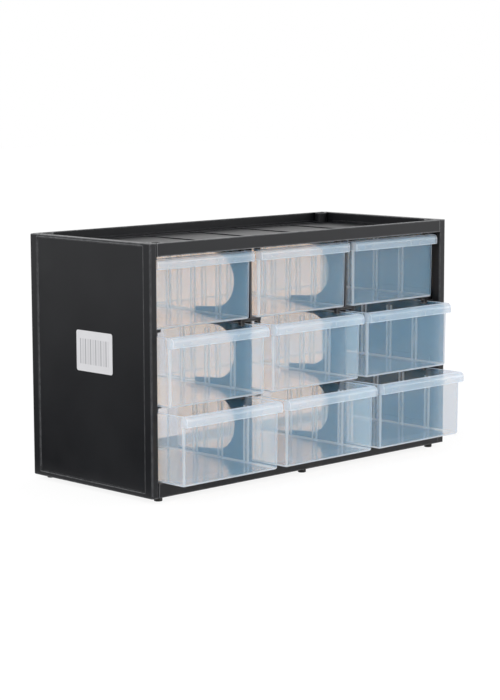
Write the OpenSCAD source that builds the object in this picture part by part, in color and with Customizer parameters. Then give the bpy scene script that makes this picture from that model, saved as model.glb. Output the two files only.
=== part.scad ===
// Parts bin cabinet: nine see-through drawers in a black frame with a tray on top.
// Origin: on the floor, in the middle of the space that the cabinet takes with its
// drawers as they stand. +Z is up, the drawers face -Y, +X is to the right.

/* [Drawers] */
// Width of a drawer's tub at its rim, without the lip
drawer_w = 109.8; // [95:0.2:115]
// Depth of a drawer's tub, front wall to back wall
drawer_d = 139.5; // [120:0.5:170]
// Height of a drawer
drawer_h = 58.2; // [48:0.2:80]
// Thickness of the walls and of the floor of a drawer
drawer_wall = 1.3; // [1:0.1:1.8]
// How much narrower each side of the tub is at the floor than at the rim
drawer_draft = 0.6; // [0.2:0.1:1.4]
// Radius of the tub's upright corners
drawer_corner = 2.5; // [2.4:0.1:5]
// Radius between the tub's walls and its floor
drawer_heel = 2.2; // [1.8:0.1:2.3]
// How far the middle row stands open
middle_open = 17.5; // [0:0.5:60]
// How far the bottom row stands open
bottom_open = 33.5; // [0:0.5:60]

/* [Drawer lips] */
// How far the lip stands out in front of the tub
lip_out = 4.8; // [4.4:0.1:7]
// How far the lip stands out beside the tub
lip_side = 0.2; // [0.1:0.1:1]
// Height of the lip
lip_h = 8.7; // [6:0.1:12]
// Radius along the lip's upper front edge
lip_round = 4; // [2:0.1:4.2]
// Gap between the lips of two neighbours
lip_gap = 8; // [6:0.1:12]
// Gap between the outer drawers' lips and the posts
side_gap = 2; // [1:0.1:4]

/* [Divider slots] */
// Width of one rib of a divider slot
rib_w = 1.5; // [1.2:0.1:2.2]
// How far the ribs stand out from the wall
rib_out = 1.2; // [0.8:0.1:1.8]
// Gap between the two ribs of a slot
slot_gap = 3.2; // [2:0.1:6]
// Distance from slot to slot
slot_pitch = 32; // [24:0.5:36]
// How far the ribs end below the rim
rib_top_gap = 7.5; // [2:0.5:12]

/* [Cabinet frame] */
// Width of a front post
post_w = 7.2; // [6:0.1:10]
// Depth of a front post
post_d = 9.5; // [7:0.5:10.5]
// Thickness of the side panels
panel_t = 2.2; // [1.8:0.1:2.6]
// How far the side panels lie below their raised rims
panel_sink = 0.8; // [0.5:0.1:1]
// Thickness of the walls of the tray and the base
skirt_t = 2.4; // [2:0.1:3]
// Thickness of the base's deck, which carries the bottom row
deck_t = 2.5; // [2:0.1:3]
// Thickness of the tray's floor
tray_t = 1.8; // [1.5:0.1:3]
// Height of the base, up to the top of its deck
base_h = 12; // [10:0.5:16]
// How far the tray's rim stands above its floor
tray_depth = 9.3; // [6:0.1:16]
// Height of the ribs on the tray's floor
tray_rib_h = 0.8; // [0.4:0.1:1.5]
// Width of the ribs on the tray's floor
tray_rib_w = 1.8; // [1:0.1:3]
// Height of the step along the foot of the tray's walls
tray_step = 1.6; // [0.8:0.1:3]
// Radius of the side panels' rear corners, seen from the side
panel_corner = 2.5; // [1.5:0.1:4]
// How far closed drawers lie behind the front of the frame
lip_recess = 1.6; // [0.6:0.1:4]
// Space behind closed drawers
back_gap = 8.6; // [6:0.1:30]

/* [Partitions and rails] */
// Thickness of a partition
partition_t = 2; // [1.6:0.1:2.4]
// How far the partitions lie behind the front of the frame
partition_recess = 10.5; // [9:0.1:14]
// Depth of the partitions and rails, front to back
partition_d = 70; // [60:0.5:80]
// Depth of the solid strip in front of a partition's openings
partition_strip = 20; // [14:0.5:24]
// Height of a partition's openings
opening_h = 46.6; // [36:0.2:50]
// How far an opening starts above its row's floor
opening_rise = 7; // [5:0.2:10]
// How much lower the arm under an opening is at its tip than at its root
arm_taper = 2; // [0:0.1:3]
// Thickness of a rail
rail_t = 2.6; // [2:0.1:3.4]
// How far a rail reaches under the drawers, from the middle of a partition
rail_reach = 12; // [9:0.5:16]
// How far a rail on a side panel reaches in from the post
side_rail = 13; // [8:0.5:16]
// Space between a drawer's rim and the rail above it
head_gap = 1.8; // [1.5:0.1:3]
// Extra space above the top row, under the tray
top_ease = 0.7; // [0:0.1:2]
// Space under a drawer, so that it slides freely
slide_gap = 0.2; // [0.1:0.05:0.4]
// How far a drawer stop hangs below the drawer's rim
stop_catch = 1.5; // [0.8:0.1:2.4]
// Width of a drawer stop
stop_w = 4; // [3:0.5:8]
// Height of the fences beside the outer drawers
fence_h = 7; // [4:0.5:10]

/* [Feet and stacking sockets] */
// Height of a foot
foot_h = 4; // [3:0.5:6]
// Diameter of a foot
foot_dia = 7; // [6:0.1:7.4]
// Diameter of the peg that holds a foot in the base
peg_dia = 4; // [3:0.1:4.6]
// Length of that peg
peg_len = 5; // [3:0.5:6]
// Diameter of a stacking socket's bore
socket_bore = 8; // [7.6:0.1:8.4]
// Wall of a stacking socket and of a foot's boss
socket_wall = 1.6; // [1.2:0.1:1.8]
// Distance of the outer feet and the sockets from the cabinet's sides
socket_side = 13; // [12.8:0.1:15]
// Distance of the feet and the sockets from the cabinet's front and back
socket_end = 7.6; // [7.2:0.1:12]

/* [Side label] */
// Length of the label on the left side
label_l = 46; // [30:1:70]
// Height of the label
label_h = 34.4; // [20:0.2:60]
// Distance of the label from the front of the cabinet
label_front = 48.8; // [20:0.2:70]
// Height of the label's lower edge above the cabinet's lower edge
label_rise = 97.1; // [40:0.1:130]
// Thickness of the label
label_t = 0.2; // [0.1:0.05:0.4]
// Radius of the label's corners
label_corner = 2; // [1:0.5:5]

/* [Hidden] */
$fn = 64;

// Colours
black_plastic = "#242528";
clear_plastic = "#b9c9d6";
foot_black = "#161616";
label_white = "#f2f2ef";

// The drawers set the grid of the cabinet
columns = 3;
rows = 3;
fit_gap = 0.15;
cut_over = 1;
weld = 0.4;
lip_w = drawer_w + 2 * lip_side;
col_pitch = lip_w + lip_gap;
row_pitch = drawer_h + head_gap + rail_t;
row_open = [bottom_open, middle_open, 0];
tub_y = lip_out;

// Outer sizes of the cabinet, and the planes that its pieces share
body_w = (columns - 1) * col_pitch + lip_w + 2 * side_gap + 2 * post_w;
body_d = lip_recess + lip_out + drawer_d + back_gap;
floor_z = foot_h + base_h;
under_tray_z = floor_z + rows * row_pitch - rail_t + top_ease;
tray_z = under_tray_z + tray_t;
top_z = tray_z + tray_depth;
open_reach = max(0, max(bottom_open, middle_open) - lip_recess);
front_y = -(body_d - open_reach) / 2;
post_x = body_w / 2 - post_w;
field_x = body_w / 2 - panel_sink;
panel_in = field_x - panel_t;
skirt_x = panel_in - fit_gap;
header_x = post_x - fit_gap;
part_y = partition_recess;
rim_d = 9.5;
rim_top = 2.2;
rim_foot = 4;
edge_r = 1.2;

// Feet and sockets
peg_ease = 0.5;
peg_gap = 0.05;
socket_x = body_w / 2 - socket_side;
socket_r = socket_bore / 2 + socket_wall;
boss_r = peg_dia / 2 + socket_wall + peg_ease;

// Partitions: an opening is as round in front as it is high
opening_r = opening_h / 2;
opening_y = part_y + partition_strip + opening_r;
seat_depth = 4;
ledge_t = 2;
tab_w = 16;
tab_t = 3;
tab_reach = 4;
step_w = 1.2;
guide_t = 1.4;
guide_h = 3.4;
guide_end = 3;
stop_gap = 1;
stop_y = max(part_y, lip_recess + lip_out + drawer_wall + stop_gap);
stop_d = 4;
stop_ease = 0.8;
stop_x = (col_pitch - drawer_w) / 2 + drawer_wall + rib_out + stop_ease;
fence_t = 2;
fence_gap = 0.5;
fence_x = (columns - 1) * col_pitch / 2 + drawer_w / 2 + fence_gap;

tab_z = foot_h + base_h / 2 - tab_t / 2;
tab_places = [body_d * 0.3, body_d * 0.7];

corner_steps = 5;
heel_steps = 3;

function row_floor(row) = floor_z + row * row_pitch;
function column_x(column) = (column - (columns - 1) / 2) * col_pitch;

// Everything is measured from the front of the frame and then moved to the origin
module in_place() {
    translate([0, front_y, 0]) children();
}

// A plate that stands across X, drawn as Y and Z
module upright(x, thickness) {
    translate([x, 0, 0])
        rotate([90, 0, 90])
            linear_extrude(thickness) children();
}

// A plain block from one corner to the opposite one
module block(low, high) {
    translate(low) cube(high - low);
}

// A rectangle with round corners, from one corner to the opposite one
module round_rect(low, high, r) {
    translate([low[0] + r, low[1]]) square([high[0] - low[0] - 2 * r, high[1] - low[1]]);
    translate([low[0], low[1] + r]) square([high[0] - low[0], high[1] - low[1] - 2 * r]);
    for (x = [low[0] + r, high[0] - r])
        for (y = [low[1] + r, high[1] - r])
            translate([x, y]) circle(r);
}

// ---- Drawers ----

// A quarter turn of points round a corner
function quarter(x, y, r, start) = [
    for (i = [0 : corner_steps])
        [x + r * cos(start + 90 * i / corner_steps), y + r * sin(start + 90 * i / corner_steps)]
];

// One level of the tub: its outline, drawn in by "inset", at height z
function level(inset, r, z) =
    let (x = drawer_w / 2 - inset - r, y0 = inset + r, y1 = drawer_d - inset - r)
    [for (p = concat(quarter(x, y1, r, 0), quarter(-x, y1, r, 90),
                     quarter(-x, y0, r, 180), quarter(x, y0, r, 270)))
        [p[0], p[1] + tub_y, z]];

// How far the draft draws a wall in at height z
function draft_at(z) = drawer_draft * (1 - z / drawer_h);

// The levels of one skin of the tub, from its floor through the heel to its rim
function skin(wall) =
    let (r = drawer_heel - wall)
    concat(
        [for (i = [0 : heel_steps])
            let (z = wall + r * (1 - cos(90 * i / heel_steps)),
                 inward = r * (1 - sin(90 * i / heel_steps)))
            level(wall + inward + draft_at(z), drawer_corner - wall - inward, z)],
        [level(wall, drawer_corner - wall, drawer_h)]);

// The levels from the underside, up the outside, over the rim and down the inside
function tub_levels() =
    let (outside = skin(0), inside = skin(drawer_wall), last = heel_steps + 1)
    concat(outside, [for (i = [last : -1 : 0]) inside[i]]);

module tub() {
    levels = tub_levels();
    turn = 4 * (corner_steps + 1);
    top = len(levels) - 1;
    points = [for (ring = levels) for (p = ring) p];
    walls = [
        for (k = [0 : top - 1]) for (i = [0 : turn - 1])
            let (a = k * turn + i, b = k * turn + (i + 1) % turn)
            each [[a, a + turn, b + turn], [a, b + turn, b]]
    ];
    underside = [for (i = [1 : turn - 2]) [0, i, i + 1]];
    inner_floor = [for (i = [1 : turn - 2]) [top * turn, top * turn + i + 1, top * turn + i]];
    polyhedron(points, concat(walls, underside, inner_floor), convexity = 4);
}

// The lip seen from the side, its upper front edge rounded, drawn in by "inset" at its
// front and top. It starts at height "low" and reaches back to "back"
module lip_profile(inset, low, back) {
    r = lip_round - inset;
    top = drawer_h - inset;
    translate([lip_round, low]) square([back - lip_round, top - low]);
    translate([inset, low]) square([lip_round, top - r - low]);
    translate([lip_round, top - r]) circle(r);
}

// The lip: a hood along the front that fingers pull from below, with closed ends
module lip() {
    low = drawer_h - lip_h;
    weld_y = tub_y + drawer_wall / 2;
    upright(-lip_w / 2, lip_w)
        difference() {
            lip_profile(0, low, weld_y);
            lip_profile(drawer_wall, low - cut_over, weld_y + cut_over);
        }
    for (x = [-lip_w / 2, lip_w / 2 - drawer_wall])
        upright(x, drawer_wall) lip_profile(0, low, tub_y + drawer_corner);
}

// One rib of a divider slot. It follows the draft of the wall it stands on
module divider_rib(side) {
    low_z = drawer_wall / 2;
    high_z = drawer_h - rib_top_gap;
    bury = drawer_wall / 2;
    low_x = drawer_w / 2 - drawer_wall - draft_at(low_z);
    high_x = drawer_w / 2 - drawer_wall - draft_at(high_z);
    translate([0, rib_w / 2, 0])
        rotate([90, 0, 0])
            linear_extrude(rib_w)
                polygon([
                    [side * (low_x - rib_out), low_z],
                    [side * (low_x + bury - drawer_heel + drawer_wall), low_z],
                    [side * (low_x + bury), drawer_heel],
                    [side * (high_x + bury), high_z],
                    [side * (high_x - rib_out), high_z]
                ]);
}

module divider_slots() {
    rib_step = (slot_gap + rib_w) / 2;
    for (slot = [1 : 3])
        for (rib = [-1, 1])
            for (side = [-1, 1])
                translate([0, tub_y + drawer_d / 2 + (slot - 2) * slot_pitch + rib * rib_step, 0])
                    divider_rib(side);
}

// A drawer in its place: row 0 is the bottom row, column 0 the left one
module drawer(row, column) {
    in_place()
        translate([column_x(column), lip_recess - row_open[row], row_floor(row) + slide_gap])
            color(clear_plastic) {
                tub();
                lip();
                divider_slots();
            }
}

// ---- Frame ----

// Outline of a tray between the side panels, with the front corners left to the posts
module tray_outline() {
    difference() {
        translate([-skirt_x, 0]) square([2 * skirt_x, body_d]);
        for (side = [-1, 1])
            translate([side * (header_x + post_w) - post_w, -cut_over])
                square([2 * post_w, post_d + fit_gap + cut_over]);
    }
}

// The same outline's inside, within a wall of thickness t
module tray_inside(t) {
    difference() {
        translate([-skirt_x + t, t]) square([2 * (skirt_x - t), body_d - 2 * t]);
        for (side = [-1, 1])
            translate([side * (header_x + post_w) - post_w - side * t, 0])
                square([2 * post_w, post_d + fit_gap + t]);
    }
}

// Puts its children at the four stacking corners
module at_corners() {
    for (x = [-socket_x, socket_x])
        for (y = [socket_end, body_d - socket_end])
            translate([x, y, 0]) children();
}

// Stops that hang from an underside just into one row's drawers, at their left or right end
module stops(row, under_z, columns_here, sides) {
    low_z = row_floor(row) + drawer_h - stop_catch;
    inner = col_pitch / 2 - stop_x;
    for (column = columns_here)
        for (side = sides)
            translate([column_x(column) + side * inner - (side > 0 ? stop_w : 0), stop_y, low_z])
                cube([stop_w, stop_d, under_z + weld - low_z]);
}

module top_tray() {
    wall_in = skirt_t + step_w;
    rib_places = [part_y, body_d - part_y];
    in_place() color(black_plastic) difference() {
        union() {
            // Floor, the rim whose front is the header, and the step along its foot
            translate([0, 0, under_tray_z])
                linear_extrude(tray_t) tray_outline();
            translate([0, 0, under_tray_z])
                linear_extrude(top_z - under_tray_z)
                    difference() {
                        tray_outline();
                        tray_inside(skirt_t);
                    }
            translate([0, 0, under_tray_z])
                linear_extrude(tray_t + tray_step)
                    difference() {
                        tray_outline();
                        tray_inside(wall_in);
                    }
            // Ribs on the floor, in line with the partitions and the middles of the drawers
            for (i = [-2 : 2])
                block([i * col_pitch / 2 - tray_rib_w / 2, skirt_t, tray_z - tray_t / 2],
                      [i * col_pitch / 2 + tray_rib_w / 2, body_d - skirt_t, tray_z + tray_rib_h]);
            for (y = rib_places)
                block([-skirt_x + skirt_t, y - tray_rib_w / 2, tray_z - tray_t / 2],
                      [skirt_x - skirt_t, y + tray_rib_w / 2, tray_z + tray_rib_h]);
            // Guides under the floor that hold the partitions' upper edges
            for (side = [-1, 1])
                for (face = [-1, 1])
                    translate([side * col_pitch / 2
                               + face * (partition_t / 2 + fit_gap + guide_t / 2) - guide_t / 2,
                               part_y + 2 * guide_end, under_tray_z - guide_h])
                        cube([guide_t, partition_d - 4 * guide_end, guide_h + tray_t / 2]);
            stops(rows - 1, under_tray_z, [0 : columns - 1], [-1, 1]);
            // Stacking sockets, open below
            at_corners()
                translate([0, 0, under_tray_z]) cylinder(r = socket_r, h = top_z - under_tray_z);
        }
        at_corners()
            translate([0, 0, under_tray_z - cut_over])
                cylinder(d = socket_bore, h = tray_t + tray_depth + 2 * cut_over);
    }
}

module base_tray() {
    under_z = floor_z - deck_t;
    rib_z = foot_h + base_h / 3;
    seat_w = partition_t + 2 * fit_gap;
    slot_w = tab_w + 2 * fit_gap;
    in_place() color(black_plastic) difference() {
        union() {
            // Deck and skirt
            translate([0, 0, under_z])
                linear_extrude(deck_t) tray_outline();
            translate([0, 0, foot_h])
                linear_extrude(base_h)
                    difference() {
                        tray_outline();
                        tray_inside(skirt_t);
                    }
            // Stiffening ribs under the deck
            for (i = [-2 : 2])
                translate([i * col_pitch / 2 - skirt_t / 2, skirt_t / 2, rib_z])
                    cube([skirt_t, body_d - skirt_t, floor_z - deck_t / 2 - rib_z]);
            // Sockets under the deck for the partitions' lower edges
            for (side = [-1, 1])
                translate([side * col_pitch / 2 - seat_w / 2 - guide_t,
                           part_y - fit_gap - guide_t, floor_z - seat_depth - fit_gap - guide_t])
                    cube([seat_w + 2 * guide_t, partition_d + 2 * (fit_gap + guide_t),
                          seat_depth + fit_gap + guide_t - deck_t / 2]);
            // Fences beside the outer drawers
            for (side = [-1, 1])
                block([side > 0 ? fence_x : -fence_x - fence_t, part_y, floor_z - deck_t / 2],
                      [side > 0 ? fence_x + fence_t : -fence_x, part_y + partition_d,
                       floor_z + fence_h]);
            // Bosses for the feet
            for (x = [-socket_x, 0, socket_x])
                for (y = [socket_end, body_d - socket_end])
                    translate([x, y, foot_h]) cylinder(r = boss_r, h = base_h - deck_t / 2);
        }
        // Slots that the partitions drop into
        for (side = [-1, 1])
            translate([side * col_pitch / 2 - seat_w / 2,
                       part_y - fit_gap, floor_z - seat_depth - fit_gap])
                cube([seat_w, partition_d + 2 * fit_gap, seat_depth + fit_gap + cut_over]);
        // Slots in the skirt for the side panels' tabs
        for (side = [-1, 1])
            for (y = tab_places)
                translate([side * (skirt_x - skirt_t / 2), y, tab_z])
                    cube([2 * skirt_t, slot_w, tab_t + 2 * fit_gap], center = true);
        // Holes for the feet's pegs
        for (x = [-socket_x, 0, socket_x])
            for (y = [socket_end, body_d - socket_end])
                translate([x, y, foot_h - cut_over])
                    cylinder(r = peg_dia / 2 + peg_gap, h = peg_len + peg_ease + cut_over);
    }
}

// What a side panel may fill, seen from the side: its rear corners are round
module panel_profile() {
    low = [0, foot_h];
    high = [body_d, top_z];
    square_d = body_d / 2;
    round_rect(low, high, panel_corner);
    translate(low) square([square_d, top_z - foot_h]);
}

// A side panel, drawn as the right-hand one
module side_panel() {
    rim_x = body_w / 2;
    color(black_plastic) intersection() {
        upright(0, rim_x) panel_profile();
        union() {
            // Plain field between the raised rims
            block([panel_in, post_d / 2, foot_h], [field_x, body_d - rim_d / 2, top_z]);
            // Front post
            translate([0, 0, foot_h])
                linear_extrude(top_z - foot_h)
                    round_rect([post_x, 0], [rim_x, post_d], edge_r);
            // Rear rim, a rounded bead
            translate([0, 0, foot_h])
                linear_extrude(top_z - foot_h)
                    round_rect([panel_in, body_d - rim_d], [rim_x, body_d], edge_r);
            // Upper and lower rims
            block([panel_in, post_d / 2, top_z - rim_top], [rim_x, body_d - rim_d / 2, top_z]);
            block([panel_in, post_d / 2, foot_h], [rim_x, body_d - rim_d / 2, foot_h + rim_foot]);
            // Ledge that carries the tray, and tabs that hold the base
            block([fence_x, part_y + fence_t, under_tray_z - ledge_t],
                  [panel_in + panel_t / 2, body_d - rim_d / 2, under_tray_z]);
            for (y = tab_places)
                translate([panel_in + (panel_t / 2 - tab_reach) / 2, y, tab_z])
                    cube([tab_reach + panel_t / 2, tab_w, tab_t], center = true);
            // Rails of the upper rows, each with its fence and stop
            for (row = [1 : rows - 1]) {
                rail_x = post_x - side_rail;
                block([rail_x, part_y, row_floor(row) - rail_t],
                      [panel_in + panel_t / 2, part_y + partition_d, row_floor(row)]);
                block([fence_x, part_y, row_floor(row) - rail_t / 2],
                      [fence_x + fence_t, part_y + partition_d, row_floor(row) + fence_h]);
                stops(row - 1, row_floor(row) - rail_t, [columns - 1], [1]);
            }
        }
    }
}

module left_side_panel() {
    in_place() mirror([1, 0, 0]) side_panel();
}

module right_side_panel() {
    in_place() side_panel();
}

// Outline of a partition as Y and Z: a comb, open at the back between its arms
module partition_outline() {
    back_y = part_y + partition_d;
    difference() {
        translate([part_y, floor_z - seat_depth])
            square([partition_d, under_tray_z - floor_z + seat_depth]);
        for (row = [0 : rows - 1]) {
            low_z = row_floor(row) + opening_rise;
            translate([opening_y, low_z + opening_r]) circle(opening_r);
            polygon([
                [opening_y, low_z],
                [back_y, low_z - arm_taper],
                [back_y + cut_over, low_z - arm_taper],
                [back_y + cut_over, low_z + opening_h],
                [opening_y, low_z + opening_h]
            ]);
        }
    }
}

// A partition and, across it, the rails of the upper rows with their drawer stops
module partition(side) {
    x = side * col_pitch / 2;
    column = side < 0 ? 0 : 1;
    in_place() color(black_plastic) {
        upright(x - partition_t / 2, partition_t) partition_outline();
        for (row = [1 : rows - 1]) {
            block([x - rail_reach, part_y, row_floor(row) - rail_t],
                  [x + rail_reach, part_y + partition_d, row_floor(row)]);
            stops(row - 1, row_floor(row) - rail_t, [column], [1]);
            stops(row - 1, row_floor(row) - rail_t, [column + 1], [-1]);
        }
    }
}

module left_partition() {
    partition(-1);
}

module right_partition() {
    partition(1);
}

// ---- Feet and label ----

module foot(x, y) {
    in_place() translate([x, y, 0]) color(foot_black) {
        cylinder(d = foot_dia, h = foot_h);
        cylinder(d = peg_dia, h = foot_h + peg_len);
    }
}

module side_label() {
    in_place() color(label_white)
        upright(-field_x - label_t, label_t)
            round_rect([label_front, foot_h + label_rise],
                       [label_front + label_l, foot_h + label_rise + label_h], label_corner);
}

top_tray();
base_tray();
left_side_panel();
right_side_panel();
left_partition();
right_partition();
side_label();
foot(-socket_x, socket_end);  // front_left_foot
foot(0, socket_end);  // front_centre_foot
foot(socket_x, socket_end);  // front_right_foot
foot(-socket_x, body_d - socket_end);  // rear_left_foot
foot(0, body_d - socket_end);  // rear_centre_foot
foot(socket_x, body_d - socket_end);  // rear_right_foot
drawer(2, 0);  // drawer_top_left
drawer(2, 1);  // drawer_top_centre
drawer(2, 2);  // drawer_top_right
drawer(1, 0);  // drawer_middle_left
drawer(1, 1);  // drawer_middle_centre
drawer(1, 2);  // drawer_middle_right
drawer(0, 0);  // drawer_bottom_left
drawer(0, 1);  // drawer_bottom_centre
drawer(0, 2);  // drawer_bottom_right
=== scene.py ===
"""Parts bin cabinet: nine see-through drawers in a black frame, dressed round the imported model.

Lengths are in metres, apart from the drawers' own sizes, which are in millimetres, as in the part's
source.
"""
import math

import bmesh
import bpy
from mathutils import Matrix, Vector


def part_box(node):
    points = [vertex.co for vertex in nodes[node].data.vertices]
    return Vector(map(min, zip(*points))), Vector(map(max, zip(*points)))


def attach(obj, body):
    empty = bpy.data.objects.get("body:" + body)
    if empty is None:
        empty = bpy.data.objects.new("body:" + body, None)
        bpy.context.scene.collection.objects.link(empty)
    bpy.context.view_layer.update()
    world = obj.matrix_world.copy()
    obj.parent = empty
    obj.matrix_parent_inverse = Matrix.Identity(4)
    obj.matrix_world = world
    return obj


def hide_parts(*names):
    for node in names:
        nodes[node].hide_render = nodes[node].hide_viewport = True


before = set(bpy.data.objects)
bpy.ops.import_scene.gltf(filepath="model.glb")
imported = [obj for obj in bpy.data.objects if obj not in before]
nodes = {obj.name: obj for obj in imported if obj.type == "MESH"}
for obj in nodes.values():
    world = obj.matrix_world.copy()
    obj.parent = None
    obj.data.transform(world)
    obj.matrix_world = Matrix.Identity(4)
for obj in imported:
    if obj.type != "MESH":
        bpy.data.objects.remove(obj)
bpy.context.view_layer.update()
scene = bpy.context.scene

# ---------------------------------------------------------------- camera
# Where it looks, its lens and its place, fitted to the frame's corners in the photograph
YAW, PITCH, ROLL = math.radians(44.35), math.radians(7.90), math.radians(-0.19)
FOCAL_PX = 2025.7
WIDTH_PX = 500.0
SENSOR_MM = 36.0
CAMERA_X, CAMERA_BACK, CAMERA_Z = -1.2566, 1.2130, 0.3515
CLIP_START, CLIP_END = 0.05, 50.0


def make_camera():
    """The photograph's view, in a picture 500 wide and 700 high."""
    data = bpy.data.cameras.new("camera")
    data.sensor_width = SENSOR_MM
    data.sensor_fit = "HORIZONTAL"
    data.lens = FOCAL_PX / WIDTH_PX * SENSOR_MM
    data.clip_start = CLIP_START
    data.clip_end = CLIP_END
    obj = bpy.data.objects.new("camera", data)
    scene.collection.objects.link(obj)
    ahead = Vector((math.sin(YAW) * math.cos(PITCH), math.cos(YAW) * math.cos(PITCH), -math.sin(PITCH)))
    right = Vector((math.cos(YAW), -math.sin(YAW), 0.0))
    up = right.cross(ahead)
    side = right * math.cos(ROLL) + up * math.sin(ROLL)
    top = up * math.cos(ROLL) - right * math.sin(ROLL)
    turn = Matrix((side, top, -ahead)).transposed().to_4x4()
    front_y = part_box("left_side_panel")[0].y
    obj.matrix_world = Matrix.Translation((CAMERA_X, front_y - CAMERA_BACK, CAMERA_Z)) @ turn
    scene.camera = obj


# ---------------------------------------------------------------- node helpers
NOISE_ROUGHNESS = 0.55
NOISE_DETAIL = 3.0
# A noise seldom leaves these limits
NOISE_LOW, NOISE_HIGH = 0.3, 0.7


def new_material(name):
    """A material without nodes, and its tree."""
    mat = bpy.data.materials.new(name)
    mat.use_nodes = True
    mat.node_tree.nodes.clear()
    return mat, mat.node_tree


def feed(tree, socket, source):
    """Links a socket to another one's output, or sets it to a number or an opaque colour."""
    if isinstance(source, bpy.types.NodeSocket):
        tree.links.new(source, socket)
    elif isinstance(source, tuple):
        socket.default_value = (*source, 1.0)
    else:
        socket.default_value = source


def add_node(tree, kind, inputs, **settings):
    """A new node of a kind, with its settings made and its inputs fed by name or number."""
    node = tree.nodes.new(kind)
    for name, value in settings.items():
        setattr(node, name, value)
    for key, source in inputs.items():
        feed(tree, node.inputs[key], source)
    return node


def maths(tree, operation, *values, clamp=False):
    """What a Math node makes of its one or two values."""
    numbered = dict(enumerate(values))
    return add_node(tree, "ShaderNodeMath", numbered, operation=operation, use_clamp=clamp).outputs[0]


def noise(tree, coords, scale, detail=NOISE_DETAIL):
    inputs = {"Vector": coords, "Scale": scale, "Detail": detail, "Roughness": NOISE_ROUGHNESS}
    return add_node(tree, "ShaderNodeTexNoise", inputs).outputs["Fac"]


def spread(tree, value, low, high, from_low=NOISE_LOW, from_high=NOISE_HIGH):
    """The value stretched from its own limits to low and high, and held between them."""
    inputs = {"Value": value, "From Min": from_low, "From Max": from_high, "To Min": low, "To Max": high}
    return add_node(tree, "ShaderNodeMapRange", inputs).outputs["Result"]


def blend_colours(tree, share, a, b):
    inputs = {"Factor": share, "A": a, "B": b}
    return add_node(tree, "ShaderNodeMix", inputs, data_type="RGBA").outputs["Result"]


def object_coords(tree):
    return add_node(tree, "ShaderNodeTexCoord", {}).outputs["Object"]


def add_shaders(tree, a, b):
    return add_node(tree, "ShaderNodeAddShader", {0: a, 1: b}).outputs[0]


def mix_shaders(tree, share, a, b):
    return add_node(tree, "ShaderNodeMixShader", {0: share, 1: a, 2: b}).outputs[0]


def set_surface(tree, shader):
    add_node(tree, "ShaderNodeOutputMaterial", {"Surface": shader})


# ---------------------------------------------------------------- black plastic
PLAIN_DARK = (0.0085, 0.0090, 0.0110)
PLAIN_LIGHT = (0.0125, 0.0132, 0.0155)
# The pale colour painted along the edges as a highlight
PAINTED_EDGE_HIGHLIGHT = (0.250, 0.255, 0.265)
PLAIN_ROUGHNESS = (0.30, 0.40)
HIGHLIGHT_SMOOTHER = 0.10
PLAIN_SPECULAR = 0.25
# Noise scales of the clouds in its colour, the patches in its gloss, the breaks in its painted edge
# highlight and its grain
CLOUD_SCALE, GLOSS_SCALE, HIGHLIGHT_BREAK_SCALE, GRAIN_SCALE = 14.0, 30.0, 180.0, 2600.0
CLOUD_DETAIL, GLOSS_DETAIL, GRAIN_DETAIL = 2.0, 4.0, 2.0
LEAST_HIGHLIGHT = 0.4
GRAIN_STRENGTH, GRAIN_DEPTH = 0.10, 0.00006
# Painted edge highlight, a paler colour standing in for light caught on the edges: how far from an edge it
# reaches, the cosines of the surface's turn between which it goes from full to none, and the shares of
# open air between which it goes from none to full, to stay out of corners
HIGHLIGHT_REACH = 0.0018
HIGHLIGHT_COSINES = (0.93, 0.995)
HIGHLIGHT_OPENNESS = (0.70, 0.90)
OPENNESS_REACH = 4 * HIGHLIGHT_REACH
HIGHLIGHT_SAMPLES = 6


def painted_highlight_mask(tree):
    """Where the painted edge highlight goes: 1 along the edges that stand out, 0 on flat faces and in
    corners.
    """
    rounded = add_node(tree, "ShaderNodeBevel", {"Radius": HIGHLIGHT_REACH}, samples=HIGHLIGHT_SAMPLES)
    geometry = add_node(tree, "ShaderNodeNewGeometry", {})
    normals = {0: rounded.outputs["Normal"], 1: geometry.outputs["True Normal"]}
    cosine = add_node(tree, "ShaderNodeVectorMath", normals, operation="DOT_PRODUCT").outputs["Value"]
    turned = spread(tree, cosine, 1.0, 0.0, *HIGHLIGHT_COSINES)
    air = add_node(tree, "ShaderNodeAmbientOcclusion", {"Distance": OPENNESS_REACH}, samples=HIGHLIGHT_SAMPLES)
    open_to_air = spread(tree, air.outputs["AO"], 0.0, 1.0, *HIGHLIGHT_OPENNESS)
    return maths(tree, "MULTIPLY", turned, open_to_air)


def black_plastic():
    """Moulded plastic with a fine grain, softly clouded, smoother along its edges, where a paler colour is
    a painted highlight.
    """
    mat, tree = new_material("black_plastic")
    at = object_coords(tree)
    breaks = spread(tree, noise(tree, at, HIGHLIGHT_BREAK_SCALE), LEAST_HIGHLIGHT, 1.0)
    # The painted edge highlight, broken up by noise
    edge_highlight = maths(tree, "MULTIPLY", painted_highlight_mask(tree), breaks)
    clouds = spread(tree, noise(tree, at, CLOUD_SCALE, CLOUD_DETAIL), 0.0, 1.0)
    plain = blend_colours(tree, clouds, PLAIN_DARK, PLAIN_LIGHT)
    roughness = spread(tree, noise(tree, at, GLOSS_SCALE, GLOSS_DETAIL), *PLAIN_ROUGHNESS)
    smoother = maths(tree, "MULTIPLY", edge_highlight, HIGHLIGHT_SMOOTHER)
    grain = add_node(tree, "ShaderNodeBump", {
        "Strength": GRAIN_STRENGTH,
        "Distance": GRAIN_DEPTH,
        "Height": noise(tree, at, GRAIN_SCALE, GRAIN_DETAIL)})
    skin = add_node(tree, "ShaderNodeBsdfPrincipled", {
        # Paler along the edges: a painted highlight
        "Base Color": blend_colours(tree, edge_highlight, plain, PAINTED_EDGE_HIGHLIGHT),
        "Roughness": maths(tree, "SUBTRACT", roughness, smoother),
        "Specular IOR Level": PLAIN_SPECULAR,
        "Normal": grain.outputs["Normal"]})
    set_surface(tree, skin.outputs[0])
    return mat


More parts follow.
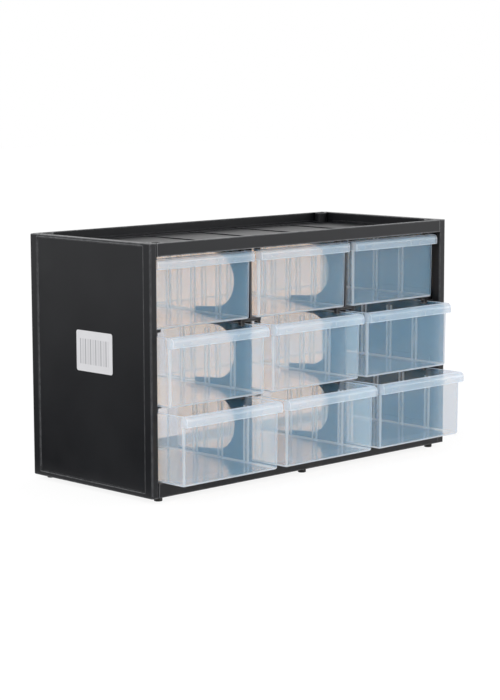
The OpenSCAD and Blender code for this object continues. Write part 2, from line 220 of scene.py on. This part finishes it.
# ---------------------------------------------------------------- clear plastic
# What one skin lets straight through and what it scatters to the back and to the front, where it is a
# clear wall and where it is a milky edge
WALL_THROUGH, EDGE_THROUGH = (0.942, 0.886, 0.826), (0.12, 0.12, 0.12)
WALL_BACK_LIT, EDGE_BACK_LIT = (0.086, 0.098, 0.116), (0.28, 0.31, 0.35)
WALL_FRONT_LIT, EDGE_FRONT_LIT = (0.012, 0.055, 0.098), (0.54, 0.58, 0.62)
# The mirroring share of any skin, what a milky edge adds, and what a clear wall adds at grazing angles
GLOSS, EDGE_GLOSS, GRAZING_GLOSS = 0.030, 0.12, 0.96
GRAZING_BLEND, GRAZING_POWER = 0.5, 5.0
# How fast the mirroring at grazing angles goes as the milk rises
GRAZING_FADE = 2.5
CLEAR_ROUGHNESS = 0.08
# The scale of the clouds in the milk, and how much they add to it or take off
MILK_SCALE = 22.0
MILK_CLOUDS = 0.02


def clear_plastic():
    """Milky moulded plastic, clear on its walls and milky where the attribute milk nears 1.

    A clear wall lets most of the light straight through, a little warmer, and scatters some of the blue.
    A milky edge lets little through and scatters most of it, nearly without colour.
    """
    mat, tree = new_material("clear_plastic")
    attribute = add_node(tree, "ShaderNodeAttribute", {}, attribute_name="milk")
    cloud = spread(tree, noise(tree, object_coords(tree), MILK_SCALE), -MILK_CLOUDS, MILK_CLOUDS)
    milk = maths(tree, "ADD", attribute.outputs["Fac"], cloud, clamp=True)
    through, front, back = (
        add_node(tree, kind, {"Color": blend_colours(tree, milk, wall, edge)}).outputs[0]
        for kind, wall, edge in (
            ("ShaderNodeBsdfTransparent", WALL_THROUGH, EDGE_THROUGH),
            ("ShaderNodeBsdfDiffuse", WALL_FRONT_LIT, EDGE_FRONT_LIT),
            ("ShaderNodeBsdfTranslucent", WALL_BACK_LIT, EDGE_BACK_LIT)))
    body = add_shaders(tree, add_shaders(tree, through, front), back)
    gloss = add_node(tree, "ShaderNodeBsdfGlossy", {"Roughness": CLEAR_ROUGHNESS}).outputs[0]
    facing = add_node(tree, "ShaderNodeLayerWeight", {"Blend": GRAZING_BLEND}).outputs["Facing"]
    clear = maths(tree, "SUBTRACT", 1.0, maths(tree, "MULTIPLY", milk, GRAZING_FADE), clamp=True)
    grazing = maths(tree, "MULTIPLY", maths(tree, "POWER", facing, GRAZING_POWER), GRAZING_GLOSS)
    grazing = maths(tree, "MULTIPLY", grazing, clear)
    even = maths(tree, "ADD", maths(tree, "MULTIPLY", milk, EDGE_GLOSS), GLOSS)
    share = maths(tree, "ADD", even, grazing, clamp=True)
    set_surface(tree, mix_shaders(tree, share, body, gloss))
    return mat


# ---------------------------------------------------------------- feet and label
FOOT_DARK, FOOT_LIGHT = (0.010, 0.010, 0.010), (0.018, 0.018, 0.018)
FOOT_ROUGHNESS = (0.55, 0.75)
FOOT_CLOUD_SCALE, FOOT_GLOSS_SCALE = 90.0, 400.0
PAPER_DARK, PAPER_LIGHT, INK = (0.66, 0.66, 0.68), (0.72, 0.72, 0.74), (0.40, 0.40, 0.42)
PAPER_ROUGHNESS = (0.35, 0.5)
PAPER_CLOUD_SCALE, PAPER_GLOSS_SCALE = 60.0, 200.0
# The bars: how many, the part of the label that they fill, and each one's narrow dark line and broad
# pale line as shares of the pitch
BAR_COUNT = 6
FIELD_ALONG, FIELD_UP, FIELD_SOFT = (0.10, 0.90), (0.18, 0.80), 0.01
DARK_LINE, PALE_LINE, LINE_SOFT = (0.10, 0.32), (0.45, 0.90), 0.03
PALE_INK = 0.35


def foot_plastic():
    """Matte black plastic."""
    mat, tree = new_material("foot_plastic")
    at = object_coords(tree)
    skin = add_node(tree, "ShaderNodeBsdfPrincipled", {
        "Base Color": blend_colours(tree, noise(tree, at, FOOT_CLOUD_SCALE), FOOT_DARK, FOOT_LIGHT),
        "Roughness": spread(tree, noise(tree, at, FOOT_GLOSS_SCALE), *FOOT_ROUGHNESS)})
    set_surface(tree, skin.outputs[0])
    return mat


def band(tree, value, ends, soft):
    """1 between the two ends, 0 outside, with a soft step."""
    start, end = ends
    rise = spread(tree, value, 0.0, 1.0, start - soft, start + soft)
    fall = spread(tree, value, 1.0, 0.0, end - soft, end + soft)
    return maths(tree, "MULTIPLY", rise, fall)


def label_film():
    """A pale film with a plain set of evenly spaced grey bars."""
    mat, tree = new_material("label_film")
    at = object_coords(tree)
    low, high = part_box("side_label")
    split = add_node(tree, "ShaderNodeSeparateXYZ", {0: at})
    along = spread(tree, split.outputs["Y"], 0.0, 1.0, low.y, high.y)
    up = spread(tree, split.outputs["Z"], 0.0, 1.0, low.z, high.z)
    field = band(tree, along, FIELD_ALONG, FIELD_SOFT)
    field = maths(tree, "MULTIPLY", field, band(tree, up, FIELD_UP, FIELD_SOFT))
    place = maths(tree, "FRACT", maths(tree, "MULTIPLY", along, BAR_COUNT + 1.0))
    pale = maths(tree, "MULTIPLY", band(tree, place, PALE_LINE, LINE_SOFT), PALE_INK)
    bars = maths(tree, "ADD", band(tree, place, DARK_LINE, LINE_SOFT), pale, clamp=True)
    paper = blend_colours(tree, noise(tree, at, PAPER_CLOUD_SCALE), PAPER_DARK, PAPER_LIGHT)
    skin = add_node(tree, "ShaderNodeBsdfPrincipled", {
        "Base Color": blend_colours(tree, maths(tree, "MULTIPLY", field, bars), paper, INK),
        "Roughness": spread(tree, noise(tree, at, PAPER_GLOSS_SCALE), *PAPER_ROUGHNESS)})
    set_surface(tree, skin.outputs[0])
    return mat


# ---------------------------------------------------------------- drawers: sizes in millimetres
MM = 0.001
ROWS = ("bottom", "middle", "top")
COLUMNS = ("left", "centre", "right")
# The lip: how far it stands out in front of the tub and past its sides, its height and its upper round
LIP_OUT, LIP_SIDE, LIP_H, LIP_ROUND = 4.8, 0.2, 8.7, 4.0
# The tub: its wall, how much wider it is at the rim, and the rounds of its upright and lower edges
WALL, DRAFT, CORNER, HEEL = 1.3, 0.6, 2.5, 2.2
# The bars of the divider slots: their width and depth, the slot between two, the pitch of the slots and
# the space over them
RIB_W, RIB_OUT, SLOT_GAP, SLOT_PITCH, RIB_TOP_GAP = 1.5, 1.2, 3.2, 32.0, 7.5
SLOTS = (-1, 0, 1)
# Small rounds: of the rims, of a lip end's lower corner, and of a bar's end and its long edges, whose
# middle point lies a little further in than the edge would
EDGE, END_ROUND, RIB_END_ROUND, RIB_ROUND, RIB_ROUND_MIDDLE = 0.35, 0.8, 0.4, 0.3, 0.1
# The least radius of an inner corner, and the strip beside a front corner over which its milk fades
LEAST_ROUND, CORNER_STRIP = 0.2, 1.0
# Steps of an arc on a rim, on a lip end's corner, on the heel and on a large round
EDGE_STEPS, END_STEPS, HEEL_STEPS, TURN_STEPS = 3, 4, 6, 8
# The least cosine that a mitre reckons with, and the angle in degrees up to which faces shade smoothly
MITRE_LIMIT, SMOOTH_ANGLE = 0.5, 32

lowest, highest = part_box("drawer_top_centre")
LIP_W = (highest.x - lowest.x) / MM
DRAWER_W = LIP_W - 2 * LIP_SIDE
DRAWER_D = (highest.y - lowest.y) / MM - LIP_OUT
DRAWER_H = (highest.z - lowest.z) / MM
LIP_LOW = DRAWER_H - LIP_H
TUB_FRONT, TUB_REAR = LIP_OUT, LIP_OUT + DRAWER_D
TUB_MIDDLE = TUB_FRONT + DRAWER_D / 2
SLOTTED_HALF = len(SLOTS) * SLOT_PITCH / 2
RIB_PLACES = [TUB_MIDDLE + slot * SLOT_PITCH + way * (SLOT_GAP + RIB_W) / 2
              for slot in SLOTS for way in (-1, 1)]


def arc(cx, cy, radius, start, end, steps):
    """Points on a circle, from one angle to another in degrees."""
    angles = [math.radians(start + (end - start) * i / steps) for i in range(steps + 1)]
    return [(cx + radius * math.cos(a), cy + radius * math.sin(a)) for a in angles]


def stack(levels):
    """A closed skin over levels of equally many points, the first and last of them capped."""
    bm = bmesh.new()
    rings = [[bm.verts.new(point) for point in level] for level in levels]
    count = len(levels[0])
    for low, high in zip(rings, rings[1:]):
        for i in range(count):
            j = (i + 1) % count
            bm.faces.new((low[i], low[j], high[j], high[i]))
    bm.faces.new(list(reversed(rings[0])))
    bm.faces.new(rings[-1])
    bmesh.ops.recalc_face_normals(bm, faces=bm.faces)
    return bm


def inset(outline, distance):
    """The outline moved inwards by a distance, mitred at its corners."""
    moved = []
    count = len(outline)
    for i in range(count):
        before, corner, after = (Vector(outline[k % count]) for k in (i - 1, i, i + 1))
        arriving, leaving = (corner - before).normalized(), (after - corner).normalized()
        normal = Vector((-arriving.y, arriving.x))
        mitre = (normal + Vector((-leaving.y, leaving.x))).normalized()
        moved.append(corner + mitre * (distance / max(mitre.dot(normal), MITRE_LIMIT)))
    return [(point.x, point.y) for point in moved]


def side_prism(outline, x_from, x_to, radius=0.0):
    """A prism across the drawer over an anticlockwise outline in Y and Z, its edges rounded at x_to."""
    way = 1 if x_to > x_from else -1
    levels = [[(x_from, y, z) for y, z in outline]]
    for i in range(EDGE_STEPS + 1 if radius else 1):
        a = math.radians(90 * i / EDGE_STEPS)
        flat = inset(outline, radius * (1 - math.cos(a))) if radius else outline
        x = x_to - way * radius * (1 - math.sin(a))
        levels.append([(x, y, z) for y, z in flat])
    return stack(levels)


def draft_at(z):
    """How much narrower the tub is on each side at a height than at its rim."""
    return DRAFT * (1 - z / DRAWER_H)


def tub_level(inward, radius, z):
    """The tub's outline at one height, with points at the bars and beside the front corners."""
    half, front, rear = DRAWER_W / 2 - inward, TUB_FRONT + inward, TUB_REAR - inward
    r = max(radius, LEAST_ROUND)
    strip = half - r - CORNER_STRIP
    flat = (arc(half - r, rear - r, r, 0, 90, TURN_STEPS)
            + arc(-half + r, rear - r, r, 90, 180, TURN_STEPS)
            + [(-half, y) for y in reversed(RIB_PLACES)]
            + arc(-half + r, front + r, r, 180, 270, TURN_STEPS)
            + [(-strip, front), (strip, front)]
            + arc(half - r, front + r, r, 270, 360, TURN_STEPS)
            + [(half, y) for y in RIB_PLACES])
    return [(x, y, z) for x, y in flat]


def tub_skin(wall):
    """The levels of the tub's outer skin, or of its inner skin where a wall is given."""
    r = HEEL - wall
    levels = []
    for i in range(HEEL_STEPS + 1):
        a = math.radians(90 * i / HEEL_STEPS)
        z = wall + r * (1 - math.cos(a))
        inward = r * (1 - math.sin(a))
        levels.append(tub_level(wall + inward + draft_at(z), CORNER - wall - inward, z))
    for i in range(EDGE_STEPS + 1):
        a = math.radians(90 * i / EDGE_STEPS)
        z = DRAWER_H - EDGE + EDGE * math.sin(a)
        step = EDGE * (1 - math.cos(a)) * (1 if wall == 0 else -1)
        levels.append(tub_level(wall + step + draft_at(z), CORNER - wall - step, z))
    return levels


def hood_profile():
    """The lip's front and top wall from the side, its lower edges rounded, joined to the tub behind."""
    back, top = TUB_FRONT + WALL / 2, DRAWER_H
    bend_z = top - LIP_ROUND
    return (arc(EDGE, LIP_LOW + EDGE, EDGE, 180, 270, EDGE_STEPS)
            + arc(WALL - EDGE, LIP_LOW + EDGE, EDGE, 270, 360, EDGE_STEPS)
            + arc(LIP_ROUND, bend_z, LIP_ROUND - WALL, 180, 90, TURN_STEPS)
            + [(back, top - WALL), (back, top)]
            + arc(LIP_ROUND, bend_z, LIP_ROUND, 90, 180, TURN_STEPS))


def end_profile():
    """A closed end of the lip from the side."""
    back = TUB_FRONT + CORNER
    return (arc(END_ROUND, LIP_LOW + END_ROUND, END_ROUND, 180, 270, END_STEPS)
            + [(back, LIP_LOW), (back, DRAWER_H)]
            + arc(LIP_ROUND, DRAWER_H - LIP_ROUND, LIP_ROUND, 90, 180, TURN_STEPS))


def rib(side, y):
    """One bar of a divider slot, leaning with the wall that it stands on."""
    low, high = WALL / 2, DRAWER_H - RIB_TOP_GAP
    half = RIB_W / 2
    levels = []
    for z in (low, HEEL, high - RIB_END_ROUND, high):
        face = DRAWER_W / 2 - WALL - draft_at(z)
        tip = face - (RIB_OUT if z < high else RIB_OUT - RIB_END_ROUND)
        # The root lies in the middle of the wall, and at the foot it stays inside the rounded heel
        root = face + WALL / 2 + (0 if z >= HEEL else WALL - HEEL)
        quarter = [(tip + RIB_ROUND, half), (tip + RIB_ROUND_MIDDLE, half - RIB_ROUND_MIDDLE),
                   (tip, half - RIB_ROUND)]
        flat = [(root, -half), (root, half)] + quarter + [(x, -off) for x, off in reversed(quarter)]
        levels.append([(side * x, y + off, z) for x, off in flat])
    return stack(levels)


def as_object(bm, name):
    mesh = bpy.data.meshes.new(name)
    bm.to_mesh(mesh)
    bm.free()
    obj = bpy.data.objects.new(name, mesh)
    scene.collection.objects.link(obj)
    return obj


def joined(parts):
    """Several skins in one, each still closed by itself."""
    whole = bmesh.new()
    for bm in parts:
        mesh = bpy.data.meshes.new("part")
        bm.to_mesh(mesh)
        bm.free()
        whole.from_mesh(mesh)
        bpy.data.meshes.remove(mesh)
    return whole


def fuse(obj, tool):
    """Unites the object with a tool, which is used up."""
    union = obj.modifiers.new("union", "BOOLEAN")
    union.operation = "UNION"
    union.solver = "EXACT"
    union.object = tool
    done = bpy.data.meshes.new_from_object(obj.evaluated_get(bpy.context.evaluated_depsgraph_get()))
    obj.modifiers.clear()
    obj.data = done
    bpy.data.objects.remove(tool)


# ---------------------------------------------------------------- drawers: how milky they look
# From 0 for a clear wall to 1 for an edge that light leaves along the wall
WALL_MILK = 0.0
INNER_HEEL_MILK = 0.10
SLOT_MILK = 0.13
LIP_MILK = 0.15
BEND_MILK = 0.18
END_MILK = 0.22
CORNER_MILK = 0.40
RIB_MILK = 0.50
HEEL_MILK = 0.95
RIM_MILK = 0.95
# Where the milk starts to fade and where it ends: below the lip's top, to either side of a corner's
# middle in degrees, and above the tub's underside
BEND_FADE = (0.15, 0.7)
CORNER_FADE = (8, 30)
HEEL_SOFT = 0.9
HEEL_FADE = (HEEL - HEEL_SOFT, HEEL)
# A face's normal along an axis: above FLAT the face is square to it, above FACING it counts as facing that
# way, and below LEANING it doesn't
FLAT, FACING, LEANING = 0.985, 0.9, 0.5
# Tolerances: for lying in a plane, for lying at a wall, and for the wall between a slot's two bars
NEAR, LOOSE, SLOT_BED = 0.01, 0.05, 0.3


def falling(value, start, end):
    """1 up to start, 0 from end on, and a straight slope between."""
    return min(1.0, max(0.0, (end - value) / (end - start)))


def between(a, b, share):
    return a + (b - a) * share


def hood_milk(normal, centre, point):
    """How milky the lip looks at a corner of one of its faces."""
    top, front = centre.z > DRAWER_H - NEAR, centre.y < NEAR
    if top or centre.z < LIP_LOW + EDGE:
        return RIM_MILK
    if abs(centre.x) > LIP_W / 2 - WALL - NEAR:
        return CORNER_MILK if front or abs(normal.x) < FACING else END_MILK
    if front:
        return LIP_MILK
    return between(BEND_MILK, RIM_MILK, falling(DRAWER_H - point.z, *BEND_FADE))


def slot_milk(normal, centre):
    """How milky the divider slots look, or None for a face that is no part of one."""
    root = DRAWER_W / 2 - draft_at(centre.z) - WALL - LOOSE
    off = abs((centre.y - TUB_MIDDLE + SLOT_PITCH / 2) % SLOT_PITCH - SLOT_PITCH / 2)
    if abs(centre.y - TUB_MIDDLE) >= SLOTTED_HALF or off >= SLOT_GAP / 2 + RIB_W + LOOSE:
        return None
    if root - RIB_OUT < abs(centre.x) < root and centre.z > WALL and abs(normal.z) < FACING:
        return RIB_MILK
    if off < SLOT_GAP / 2 and abs(centre.x) > root - SLOT_BED and centre.z > HEEL:
        return SLOT_MILK
    return None


def tub_milk(point):
    """How milky the tub's walls look: clear, but for the heel and the upright corners."""
    x, y, z = abs(point.x), point.y, point.z
    half = DRAWER_W / 2 - draft_at(z)
    inward = min(half - x, y - TUB_FRONT, TUB_REAR - y)
    heel = INNER_HEEL_MILK if inward > WALL - LOOSE and z > WALL - LOOSE else HEEL_MILK
    milk = between(WALL_MILK, heel, falling(z, *HEEL_FADE))
    bend_x, front_y, rear_y = half - CORNER, TUB_FRONT + CORNER, TUB_REAR - CORNER
    if x > bend_x and (y < front_y or y > rear_y):
        turn = math.degrees(math.atan2(abs(y - (front_y if y < front_y else rear_y)), x - bend_x))
        facing_front = y < front_y and turn > 45
        share = 1.0 if facing_front else falling(abs(turn - 45), *CORNER_FADE)
        milk = max(milk, between(WALL_MILK, CORNER_MILK, share))
    return milk


def milk_at(normal, centre, point):
    """How milky the plastic looks: more where light runs along a wall, as at corners, rims and ribs."""
    if centre.z > LIP_LOW - NEAR and (centre.y < TUB_FRONT - NEAR or abs(centre.x) > DRAWER_W / 2 + NEAR):
        return hood_milk(normal, centre, point)
    flat = max(abs(normal.x), abs(normal.y), abs(normal.z)) > FLAT
    if centre.z > DRAWER_H - EDGE and not (flat and abs(normal.z) < LEANING):
        return RIM_MILK
    slot = slot_milk(normal, centre)
    if slot is not None:
        return slot
    return WALL_MILK if abs(normal.z) > FLAT else tub_milk(point)


def drawer_mesh():
    """A drawer as one closed skin: the tub, its lip with closed ends, and the bars of its slots."""
    outside, inside = tub_skin(0.0), tub_skin(WALL)
    tub = as_object(stack(outside + inside[::-1]), "tub")
    half = LIP_W / 2
    fuse(tub, as_object(side_prism(hood_profile(), WALL / 2 - half, half - WALL / 2), "hood"))
    for way in (-1, 1):
        fuse(tub, as_object(side_prism(end_profile(), way * (half - WALL), way * half, EDGE), "end"))
    fuse(tub, as_object(joined([rib(side, y) for y in RIB_PLACES for side in (-1, 1)]), "ribs"))
    mesh = tub.data
    bpy.data.objects.remove(tub)
    mesh.name = "drawer"
    milk = mesh.attributes.new("milk", "FLOAT", "CORNER")
    for face in mesh.polygons:
        face.use_smooth = True
        for k in face.loop_indices:
            point = mesh.vertices[mesh.loops[k].vertex_index].co
            milk.data[k].value = milk_at(face.normal, face.center, point)
    mesh.set_sharp_from_angle(angle=math.radians(SMOOTH_ANGLE))
    mesh.transform(Matrix.Scale(MM, 4))
    return mesh


def make_drawers(mat):
    """Nine drawers of one mesh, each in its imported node's place."""
    mesh = drawer_mesh()
    mesh.materials.clear()
    mesh.materials.append(mat)
    for row in ROWS:
        for column in COLUMNS:
            name = f"drawer_{row}_{column}"
            low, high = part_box(name)
            obj = bpy.data.objects.new("bin_" + name, mesh)
            scene.collection.objects.link(obj)
            obj.location = ((low.x + high.x) / 2, low.y, low.z)
            even = obj.modifiers.new("even", "WEIGHTED_NORMAL")
            even.keep_sharp = True
            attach(obj, name)
            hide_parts(name)


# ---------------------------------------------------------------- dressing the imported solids
WELD_DISTANCE = 1e-6
# In degrees: faces that turn less than the first are one, and edges sharper than the second are rounded
FLAT_ANGLE, SHARP_ANGLE = 0.5, 35.0
ROUND_SEGMENTS = 2
FACE_WEIGHT = 100
FRAME_ROUND, FOOT_ROUND, LABEL_ROUND = 0.0005, 0.0004, 0.00003


def soften(obj, width):
    """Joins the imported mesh's split faces, rounds its sharp edges and shades it by face size."""
    weld = obj.modifiers.new("weld", "WELD")
    weld.merge_threshold = WELD_DISTANCE
    flat = obj.modifiers.new("flat", "DECIMATE")
    flat.decimate_type = "DISSOLVE"
    flat.angle_limit = math.radians(FLAT_ANGLE)
    rounding = obj.modifiers.new("round", "BEVEL")
    rounding.width = width
    rounding.segments = ROUND_SEGMENTS
    rounding.limit_method = "ANGLE"
    rounding.angle_limit = math.radians(SHARP_ANGLE)
    rounding.use_clamp_overlap = True
    for face in obj.data.polygons:
        face.use_smooth = True
    even = obj.modifiers.new("even", "WEIGHTED_NORMAL")
    even.keep_sharp = True
    even.weight = FACE_WEIGHT


def dress(name, mat, width):
    """Gives a node its material and its softened edges."""
    obj = nodes[name]
    obj.data.materials.clear()
    obj.data.materials.append(mat)
    soften(obj, width)


def dress_frame():
    """Dresses every node that isn't a drawer."""
    black, foot, film = black_plastic(), foot_plastic(), label_film()
    for name in nodes:
        if name.startswith("drawer"):
            continue
        if name.endswith("foot"):
            dress(name, foot, FOOT_ROUND)
        elif name == "side_label":
            dress(name, film, LABEL_ROUND)
        else:
            dress(name, black, FRAME_ROUND)


# ---------------------------------------------------------------- stage
WHITE = (1.0, 1.0, 1.0)
# A painted grey shade on the floor and background where they are seen through the drawers
SHADE_THROUGH_DRAWERS = (0.58, 0.61, 0.71)
WORLD_LIGHT = 0.88
FLOOR_SIZE, FLOOR_DROP = 12.0, 0.0002
FLOOR_COLOUR, FLOOR_ROUGHNESS = (0.85, 0.85, 0.85), 0.9
# How bright the floor's plain white and its painted grey shade seen through the drawers are, and their
# share over the lit floor with its shadow
FLOOR_WHITE, FLOOR_SHADE_THROUGH, FLOOR_PLAIN = 1.08, 0.95, 0.82
# The dark sheet seen only in reflections, which paints a dark reflection on the left panel: how near it
# comes to the side panel, how far it reaches to the side and past the rear, how high it lies, and its
# colour
SHEET_NEAR, SHEET_FAR, SHEET_PAST, SHEET_RISE = 0.02, 0.75, 0.80, 0.0004
REFLECTED_SHADE_COLOUR = (0.05, 0.05, 0.05)
# Lamps: place, the point that they aim at, size and power
LAMP_AIM = (0, 0, 0.1)
KEY_PLACE, KEY_SIZE, KEY_POWER = (-2.2, -0.9, 1.3), (1.6, 1.2), 14.0
FILL_PLACE, FILL_SIZE, FILL_POWER = (1.7, -1.6, 0.5), (1.2, 0.8), 6.0
# How many skins of see-through plastic a ray may cross
SKINS_CROSSED = 48


def seen_by(tree):
    """Two shares: what the camera sees directly or in a mirror, and what it sees through the drawers."""
    path = add_node(tree, "ShaderNodeLightPath", {})
    through = maths(tree, "MINIMUM", path.outputs["Transparent Depth"], 1.0)
    beyond = maths(tree, "MULTIPLY", path.outputs["Is Camera Ray"], through)
    direct = maths(tree, "SUBTRACT", path.outputs["Is Camera Ray"], beyond)
    direct = maths(tree, "ADD", direct, path.outputs["Is Glossy Ray"], clamp=True)
    direct = maths(tree, "ADD", direct, path.outputs["Is Transmission Ray"], clamp=True)
    return direct, beyond


def glow(tree, kind, colour, strength):
    """The output of an Emission or Background node."""
    return add_node(tree, kind, {"Color": colour, "Strength": strength}).outputs[0]


def make_floor():
    """A pale floor that keeps the shadow, white to the camera, with a painted grey shade where it is seen
    through the drawers.
    """
    bpy.ops.mesh.primitive_plane_add(size=FLOOR_SIZE, location=(0.0, 0.0, -FLOOR_DROP))
    floor = bpy.context.object
    floor.name = "floor"
    mat, tree = new_material("floor_white")
    lit = add_node(tree, "ShaderNodeBsdfPrincipled", {
        "Base Color": FLOOR_COLOUR,
        "Roughness": FLOOR_ROUGHNESS,
        "Specular IOR Level": 0.0}).outputs[0]
    direct, beyond = seen_by(tree)
    white = glow(tree, "ShaderNodeEmission", WHITE, FLOOR_WHITE)
    # A painted grey shade where the floor is seen through the drawers
    grey = glow(tree, "ShaderNodeEmission", SHADE_THROUGH_DRAWERS, FLOOR_SHADE_THROUGH)
    shown = mix_shaders(tree, maths(tree, "MULTIPLY", beyond, FLOOR_PLAIN), lit, grey)
    set_surface(tree, mix_shaders(tree, maths(tree, "MULTIPLY", direct, FLOOR_PLAIN), shown, white))
    floor.data.materials.append(mat)


def make_reflected_shade_sheet():
    """A dark sheet beside the left panel, seen only in reflections: it paints a dark reflection that keeps
    the panel black.
    """
    low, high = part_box("left_side_panel")
    near, far, rear = low.x - SHEET_NEAR, low.x - SHEET_FAR, high.y + SHEET_PAST
    bm = bmesh.new()
    corners = ((near, low.y), (near, rear), (far, rear), (far, low.y))
    bm.faces.new([bm.verts.new((x, y, SHEET_RISE)) for x, y in corners])
    shade_sheet = as_object(bm, "reflected_shade_sheet")
    mat, tree = new_material("reflected_shade_sheet")
    set_surface(tree, add_node(tree, "ShaderNodeBsdfDiffuse", {"Color": REFLECTED_SHADE_COLOUR}).outputs[0])
    shade_sheet.data.materials.append(mat)
    # Seen by nothing but reflections, so all it does is paint a dark reflection on the panel
    shade_sheet.visible_camera = False
    shade_sheet.visible_diffuse = False
    shade_sheet.visible_transmission = False
    shade_sheet.visible_shadow = False


def make_world():
    """Plain even light, white to the camera, with a painted grey shade where it is seen through the
    drawers.
    """
    world = bpy.data.worlds.new("studio")
    world.use_nodes = True
    scene.world = world
    tree = world.node_tree
    tree.nodes.clear()
    direct, beyond = seen_by(tree)
    lit = glow(tree, "ShaderNodeBackground", WHITE, WORLD_LIGHT)
    white = glow(tree, "ShaderNodeBackground", WHITE, 1.0)
    # A painted grey shade where the background is seen through the drawers
    grey = glow(tree, "ShaderNodeBackground", SHADE_THROUGH_DRAWERS, 1.0)
    shown = mix_shaders(tree, direct, mix_shaders(tree, beyond, lit, grey), white)
    add_node(tree, "ShaderNodeOutputWorld", {"Surface": shown})


def make_lamp(name, place, size, power):
    data = bpy.data.lights.new(name, "AREA")
    data.shape = "RECTANGLE"
    data.size, data.size_y = size
    data.energy = power
    obj = bpy.data.objects.new(name, data)
    scene.collection.objects.link(obj)
    obj.location = place
    obj.rotation_euler = (Vector(LAMP_AIM) - Vector(place)).to_track_quat("-Z", "Y").to_euler()


make_camera()
scene.view_settings.view_transform = "Standard"
scene.cycles.transparent_max_bounces = SKINS_CROSSED
dress_frame()
make_drawers(clear_plastic())
make_floor()
make_reflected_shade_sheet()
make_world()
make_lamp("key", KEY_PLACE, KEY_SIZE, KEY_POWER)
make_lamp("fill", FILL_PLACE, FILL_SIZE, FILL_POWER)
